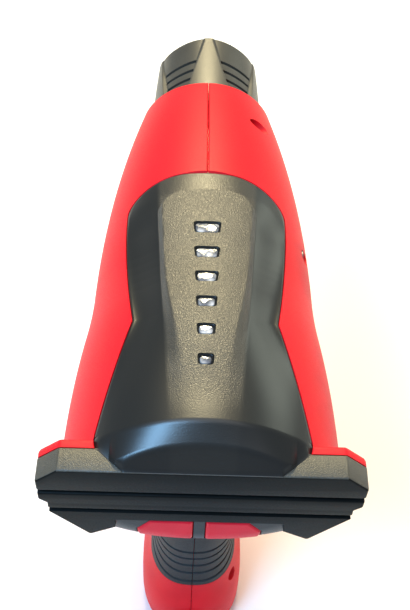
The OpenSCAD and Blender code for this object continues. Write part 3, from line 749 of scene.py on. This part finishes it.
def place_grips():
    """The two soft grip pads, with slanted grooves."""
    outer = handle_core("pad", 0.0)
    combine(outer, prism("side", grip_side(-0.12), -FAR, FAR, "x"), "INTERSECT")
    combine(outer, handle_core("core", 1.2))
    deep = handle_core("deep", 0.55)
    for k in range(GROOVES):
        ridge = [(-30 - REAR + 60 * t, -126 + 7 * k + 16 * t) for t in np.linspace(0, 1, 12)]
        ridge += [(a, b + 2.0) for a, b in reversed(ridge)]
        rib = prism("rib", ridge, -FAR, FAR, "x")
        combine(rib, deep, keep=True)
        combine(outer, rib)
    bpy.data.objects.remove(deep)
    place_halves(outer, "pad", "grip", "soft_grip")


# ---- top cover and windows ----

def lamp_middle(i):
    """How far forward the middle of a window lies, counted from the nozzle's end."""
    return LAMP_FIRST - LAMP_PITCH * i


def window_outline(i, grow):
    """One window, wider towards the nozzle, as (x, s)."""
    middle = lamp_middle(i)
    length = 5.2 - 0.22 * i
    half = (LAMP_WIDE + (LAMP_NARROW - LAMP_WIDE) * i / (LAMPS - 1)) / 2
    near, far = half * 0.88 + grow, half + grow
    a, b = middle - length / 2 - grow, middle + length / 2 + grow
    return rounded([(near, a), (far, b), (-far, b), (-near, a)], 1.1)


def place_cover():
    """The black top cover, with its panel and the wells for the windows."""
    bow = np.sin(np.linspace(0, 1, 34) * math.pi / 2)
    rows = np.concatenate([np.linspace(0.05, 13, 66), np.linspace(13.4, CORNER_S - 0.1, 238),
                           CORNER_S + (CORNER_LONG - 0.05) * bow])
    u = np.sin(np.linspace(-1, 1, 201) * math.pi / 2)
    s = np.repeat(rows[:, None], len(u), 1)
    half = cover_half(s)
    x = u[None, :] * half
    off = np.abs(x)
    oval = np.hypot((off - CORNER_X) / (COVER_HALF - CORNER_X), (s - CORNER_S) / CORNER_LONG)
    straight = np.minimum(half - off, COVER_FRONT - s)
    d = np.where((s > CORNER_S) & (off > CORNER_X), (1 - oval) * 15, straight)
    top = cover_height(x, s)
    roll = np.where(s > RIM_FRONT, edge_roll(d, 0.7), 0)
    top = np.maximum(top - roll, np.where(s < FLANGE_T, FLANGE_TOP + 0.06, 0))
    low = np.maximum(cover_base(x, s) - 2.3, np.where(s < FLANGE_T, FLANGE_TOP + 0.02, 0))
    cover = slab("cover", np.stack([x, s, top], -1), np.stack([x, s, np.minimum(low, top - 0.03)], -1))
    for i in range(LAMPS):
        combine(cover, prism("well", window_outline(i, 0.1), 30, 60, "h"))
    dress(cover, "gun", "cover_black", "top_cover", sharp=38, skins=("cover_skin",))


def place_windows():
    """The six windows as one piece, and the black frames round them as another."""
    pieces = []
    frames = []
    for i in range(LAMPS):
        crown = float(cover_height(np.array([0.0]), np.array([lamp_middle(i)]))[0])
        rings = [[(a, b, crown - 2.2) for a, b in window_outline(i, -0.6)]]
        rings += [[(a, b, crown - d) for a, b in window_outline(i, -0.6 - g)]
                  for d, g in ((0.95, 0), (0.65, 0.15), (0.5, 0.75))]
        pieces.append(loft("window", rings))
        steps = ((2.6, 0.02), (0.45, 0.02), (0.3, 0.15), (0.4, 0.28), (1.0, 0.57), (2.6, 0.57))
        ring = [(a, b, crown - d) for d, g in steps for a, b in window_outline(i, -g)]
        n = len(ring) // len(steps)
        last = len(ring) - n
        faces = ring_faces(len(steps), n, False)
        faces += [(last + k, last + (k + 1) % n, (k + 1) % n, k) for k in range(n)]
        frames.append(make("ring", ring, faces))
    dress(joined("windows", pieces), "gun", "clear_window", "led_windows", sharp=20)
    dress(joined("window_frames", frames), "gun", "cover_black")


# ---- rear cover, console and buttons ----

# The slats' low and high edges, from the top down, then the right button's outline as (x, h)
SLAT_BANDS = ((21.4, 40), (9.6, 19.4), (-12, 7.6))
BUTTON_SIDE = [(2.1, 1.0), (15.8, 1.0), (20.2, -5.0), (20.2, -13.5), (2.1, -13.5)]
CONSOLE_HALF = 28.0
CONSOLE_END = 62.6


def console_face(x, h):
    """How far forward the console's face lies: a flat disc that bends away round a line above it."""
    rho = np.hypot(x, h - CONSOLE_H)
    bend = np.arcsin(np.clip((rho - CONSOLE_R) / CONSOLE_BEND, 0, BEND_SIN))
    past = np.clip(rho - CONSOLE_R - CONSOLE_BEND * BEND_SIN, 0, None)
    return CONSOLE_RECESS + CONSOLE_BEND * (1 - np.cos(bend)) + past


def button_outline(sign, grow):
    """One button's outline as (x, h), grown outwards."""
    pts = shrunk(BUTTON_SIDE, -grow) if grow else BUTTON_SIDE
    return rounded([(sign * x, h) for x, h in pts], 0.9)


def edge_distance(x, h, outline):
    """Distance from points to an outline's nearest edge."""
    best = np.full(x.shape, 1e9)
    for (ax, ah), (bx, bh) in zip(outline, outline[1:] + outline[:1]):
        dx, dh = bx - ax, bh - ah
        t = np.clip(((x - ax) * dx + (h - ah) * dh) / max(dx * dx + dh * dh, 1e-9), 0, 1)
        best = np.minimum(best, np.hypot(x - ax - t * dx, h - ah - t * dh))
    return best


def place_slats():
    """The flange: three slats, held by a grid that shows in the slots between them."""
    outline = rounded(both_sides(FLANGE_SIDE), 1.0)
    slats = []
    for low, high in SLAT_BANDS:
        slat = prism("slat", outline, 0.02, FLANGE_T)
        combine(slat, box("band", (-FAR, FAR), (-5, 20), (low, high)), "INTERSECT")
        if low < 0:
            combine(slat, box("console_room", (-27.2, 27.2), (-5, 20), (-30, 2.6)))
        slats.append(bevel(slat, 0.7, 3, 25))
    cross = box("cross", (-48, 48), (1.4, FLANGE_T - 0.3), (7.0, 22))
    combine(cross, prism("within", shrunk(outline, 0.9), -1, 10), "INTERSECT")
    gaps = [(low[1] + 0.3, high[0] - 0.3) for high, low in zip(SLAT_BANDS, SLAT_BANDS[1:])]
    for across in ((-44, -22.8), (-21.2, -0.8), (0.8, 21.2), (22.8, 44)):
        combine(cross, box("open", across, (0, 5.0), (0, 30)))
        for gap in reversed(gaps):
            combine(cross, box("open", across, (0, 12), gap))
    plate = joined("rear_slats", slats + [cross])
    dress(plate, "gun", "cover_black", "rear_cover", sharp=50, skins=("flange_satin_painted_shade", "flange_grain_painted_light"))
    # Faces that point up, high on the flange, take the tan grained skin and all others the near-black one:
    # painted light on the tops and painted shade on the rear faces, with real coarser grain on the tops.
    for face in plate.data.polygons:
        up = face.normal.z > 0.55 and face.center.z > (AXIS + 24) * MM
        face.material_index = int(up)


def place_console():
    """The face round the buttons, below the slats."""
    columns = np.linspace(-CONSOLE_HALF, CONSOLE_HALF, 121)
    rho = np.linspace(0, 1, 70)
    x = np.repeat(columns[:, None], len(rho), 1)
    first = np.hypot(x, CONSOLE_H - 2.5)
    r = first + (CONSOLE_END - first) * rho
    h = CONSOLE_H - np.sqrt(np.clip(r * r - x * x, 0, None))
    face = console_face(x, h) + edge_roll(CONSOLE_END - r + 0.5, 0.6)
    console = slab("console", np.stack([x, face, h], -1), np.stack([x, face + 2.4, h + 0.4], -1))
    for sign in (-1, 1):
        combine(console, prism("aperture", button_outline(sign, 0.3), -3, 20))
    combine(console, box("trim", (-FAR, FAR), (-5, FLANGE_T), (-40, 10)), "INTERSECT")
    dress(console, "gun", "cover_black", sharp=40)


def place_buttons():
    """The two temperature buttons, just proud of the console's face."""
    for sign, body in ((-1, "temp_down"), (1, "temp_up")):
        xs = np.linspace(1.5, 21, 90) * sign
        x, h = np.meshgrid(xs, np.linspace(-14.2, 1.8, 76), indexing="ij")
        outline = button_outline(sign, 0)
        face = console_face(x, h) - 0.35 + edge_roll(edge_distance(x, h, outline), 1.0)
        block = slab(body, np.stack([x, face, h], -1), np.stack([x, face + 3.2, h], -1))
        combine(block, prism("outline", outline, -3, 25), "INTERSECT")
        dress(block, body, "button_red", f"{body}_button", sharp=40)


# ---- nozzle guard ----

GUARD_BACK = 176.5
GUARD_SLOTS = (206.8, 201.2, 195.6, 190.0)
RIBS = 5
RIB_STEP = 360 / RIBS
RIB_WIDE = 23.0
RIB_NARROW = 5.4
GUARD_R = 24.5
GUARD_BORE = 20.9
SLOT_IN = 17.5
SLOT_OUT = 27


def rib_half(s):
    """Half a rib's width as an angle in degrees: it narrows towards the front."""
    return RIB_WIDE + (RIB_NARROW - RIB_WIDE) * np.clip((s - 187) / 33, 0, 1)


def guard_radius(angle, s):
    """The guard's outer radius: raised ribs, with slightly hollow faces between them."""
    crest = GUARD_R - 2.3 * (s - GUARD_BACK) / (GUARD_FRONT - GUARD_BACK)
    near = np.abs((angle + RIB_STEP / 2) % RIB_STEP - RIB_STEP / 2)
    fore = smooth_step(200, GUARD_FRONT, s)
    flat = crest - 1.15 + 0.7 * fore - (0.75 - 0.2 * fore) * (0.5 - 0.5 * np.cos(np.radians(RIBS * angle)))
    out = (near - rib_half(s)) * crest * math.pi / 180
    return flat + (crest - flat) * smooth_step(0.7, -0.5, out)


def place_guard():
    """The ribbed nozzle guard, with rows of slanted slots between its ribs."""
    rows = np.linspace(GUARD_BACK, GUARD_FRONT - 0.05, 150)
    angles = np.arange(0, 360, 0.75)
    a, s = np.meshgrid(angles, rows)
    r = guard_radius(a, s) - edge_roll(GUARD_FRONT - s, 0.9)
    inner = GUARD_BORE - 1.6 * (rows - GUARD_BACK) / (GUARD_FRONT - GUARD_BACK)
    turn = np.radians(a)
    rings = list(np.stack([r * np.sin(turn), s, r * np.cos(turn)], -1))
    for sv, rv in zip(rows[::-15], inner[::-15]):
        t = np.radians(angles)
        rings.append(np.stack([rv * np.sin(t), np.full(len(t), sv), rv * np.cos(t)], -1))
    n = len(angles)
    last = (len(rings) - 1) * n
    faces = ring_faces(len(rings), n, False)
    faces += [(last + i, last + (i + 1) % n, (i + 1) % n, i) for i in range(n)]
    guard = make("guard", np.concatenate(rings), faces)
    cutters = []
    for middle in GUARD_SLOTS:
        for k in range(RIBS):
            half = RIB_STEP / 2 - float(rib_half(np.array(middle))) - 1.6
            sweep = np.radians(RIB_STEP * (k + 0.5) + np.linspace(-half, half, 14))
            section = ((SLOT_IN, middle - 1.9), (SLOT_OUT, middle + 0.1),
                       (SLOT_OUT, middle + 1.9), (SLOT_IN, middle - 0.1))
            turned = [[(q * math.sin(t), v, q * math.cos(t)) for q, v in section] for t in sweep]
            cutters.append(loft("slot", turned))
    combine(guard, joined("slots", cutters))
    dress(guard, "gun", "guard_black", "nozzle_guard", sharp=35)


# ---- switch and cord gland ----

# The bezel and the slider in the frame's y and z, then the gland's rear face and its height
BEZEL_Y = (21.6, 29.0)
BEZEL_Z = (86.1, 115.9)
SLIDER_Y = (23.2, 31.6)
SLIDER_Z = (89.6, 101.2)
GLAND_Y = -37.2
GLAND_Z = 12


def place_switch():
    """The slider's bezel in the front of the handle, and the ridged slider."""
    s0, s1 = (y - REAR for y in BEZEL_Y)
    low, high = (z - AXIS for z in BEZEL_Z)
    frame_box = bevel(box("bezel", (-8.9, 8.9), (s0, s1), (low, high)), 1.4, 4)
    hole = bevel(box("hole", (-6.1, 6.1), (s0 - 3, s1 + 4), (low + 2.9, high - 3.1)), 0.8, 3)
    combine(frame_box, hole)
    dress(bevel(frame_box, 0.25, 2, 35), "gun", "inner_plastic", "switch_bezel")
    base, top = (y - REAR for y in SLIDER_Y)
    floor_h, roof_h = (z - AXIS for z in SLIDER_Z)
    thumb = bevel(box("thumb", (-5.4, 5.4), (base, top - 1.2), (floor_h, roof_h)), 0.8, 3)
    ridges = [bevel(box("ridge", (-4.6, 4.6), (top - 2.2, top - 0.1), (h, h + 1.2)), 0.4, 2)
              for h in np.linspace(floor_h + 1.6, roof_h - 2.8, 4)]
    dress(joined("slider", [thumb] + ridges), "power_slider", "slider_red", "switch_slider")


def place_gland():
    """The cord gland: a sleeve with a rounded collar outside and a flange inside the handle."""
    back = GLAND_Y - REAR
    profile = [(4.3, back), (7.4, back), (8.2, back + 0.8), (8.2, back + 2.2), (6.4, back + 2.9),
               (6.4, back + 7.8), (8.2, back + 8.2), (8.2, back + 11), (4.3, back + 11)]
    dress(lathe("gland", profile, GLAND_Z - AXIS, 72), "gun", "rubber_black", "cord_gland")


place_shells()
place_grips()
place_cover()
place_windows()
place_slats()
place_console()
place_buttons()
place_guard()
place_switch()
place_gland()

# ---- camera, floor and light ----

def aim_camera():
    """From behind and above, looking down along the barrel."""
    yaw, pitch, roll = (math.radians(a) for a in (1.86, 52.22, 3.25))
    place = np.array((-6.87, -141.4, 298.7))
    level = math.cos(pitch)
    forward = np.array((math.sin(yaw) * level, math.cos(yaw) * level, -math.sin(pitch)))
    right = np.array((math.cos(yaw), -math.sin(yaw), 0))
    up = np.cross(right, forward)
    across = math.cos(roll) * right + math.sin(roll) * up
    over = -math.sin(roll) * right + math.cos(roll) * up
    data = bpy.data.cameras.new("camera")
    data.sensor_fit = "VERTICAL"
    data.sensor_height = 36
    data.lens = 59.0872
    cam = bpy.data.objects.new("camera", data)
    turn = Matrix((across, over, -forward)).transposed().to_4x4()
    cam.matrix_world = Matrix.Translation(Vector((place + (0, REAR, AXIS)) * MM)) @ turn
    data.clip_start = 0.01
    bpy.context.scene.collection.objects.link(cam)
    bpy.context.scene.camera = cam


def add_light(name, place, target, size, power, color):
    """A soft area light that points at target."""
    data = bpy.data.lights.new(name, "AREA")
    data.shape = "RECTANGLE"
    data.size, data.size_y = size
    data.energy = power
    data.color = color
    lamp = bpy.data.objects.new(name, data)
    lamp.location = place
    lamp.rotation_euler = (Vector(target) - Vector(place)).to_track_quat("-Z", "Y").to_euler()
    bpy.context.scene.collection.objects.link(lamp)


def add_floor():
    """A plain pale floor."""
    bpy.ops.mesh.primitive_plane_add(size=6, location=(0, 0, 0))
    floor = bpy.context.object
    floor.name = "floor"
    m = Nodes("floor", (0.93, 0.93, 0.93), 0.8)
    m.bump([(m.noise(3), 0.01)])
    floor.data.materials.append(m.mat)


aim_camera()
add_floor()
target = (0, 0.05, AXIS * MM)
add_light("front_key", (-0.02, 1.0, 1.1), target, (0.42, 0.38), 24, (1.0, 0.85, 0.50))
add_light("top_soft", (-0.1, 0.0, 1.6), target, (1.5, 1.5), 8, (0.98, 0.98, 1.0))
add_light("rear_cool", (-0.52, -0.46, 1.1), target, (0.4, 0.4), 13, (0.30, 0.62, 1.0))
add_light("right_window", (1.0, 0.85, 0.62), target, (0.5, 0.5), 2.5, (0.92, 1.0, 0.84))
world = bpy.data.worlds.new("studio")
world.use_nodes = True
background = world.node_tree.nodes["Background"]
background.inputs["Color"].default_value = (1, 1, 1, 1)
background.inputs["Strength"].default_value = 0.28
bpy.context.scene.world = world
bpy.context.scene.view_settings.view_transform = "Standard"

# ---- the CAD nodes that stay ----

for entry in frame["record"]["subparts"]:
    obj = frame["nodes"][entry["node"]]
    for i in range(len(obj.data.materials)):
        obj.data.materials[i] = look[entry["material_slot"]]
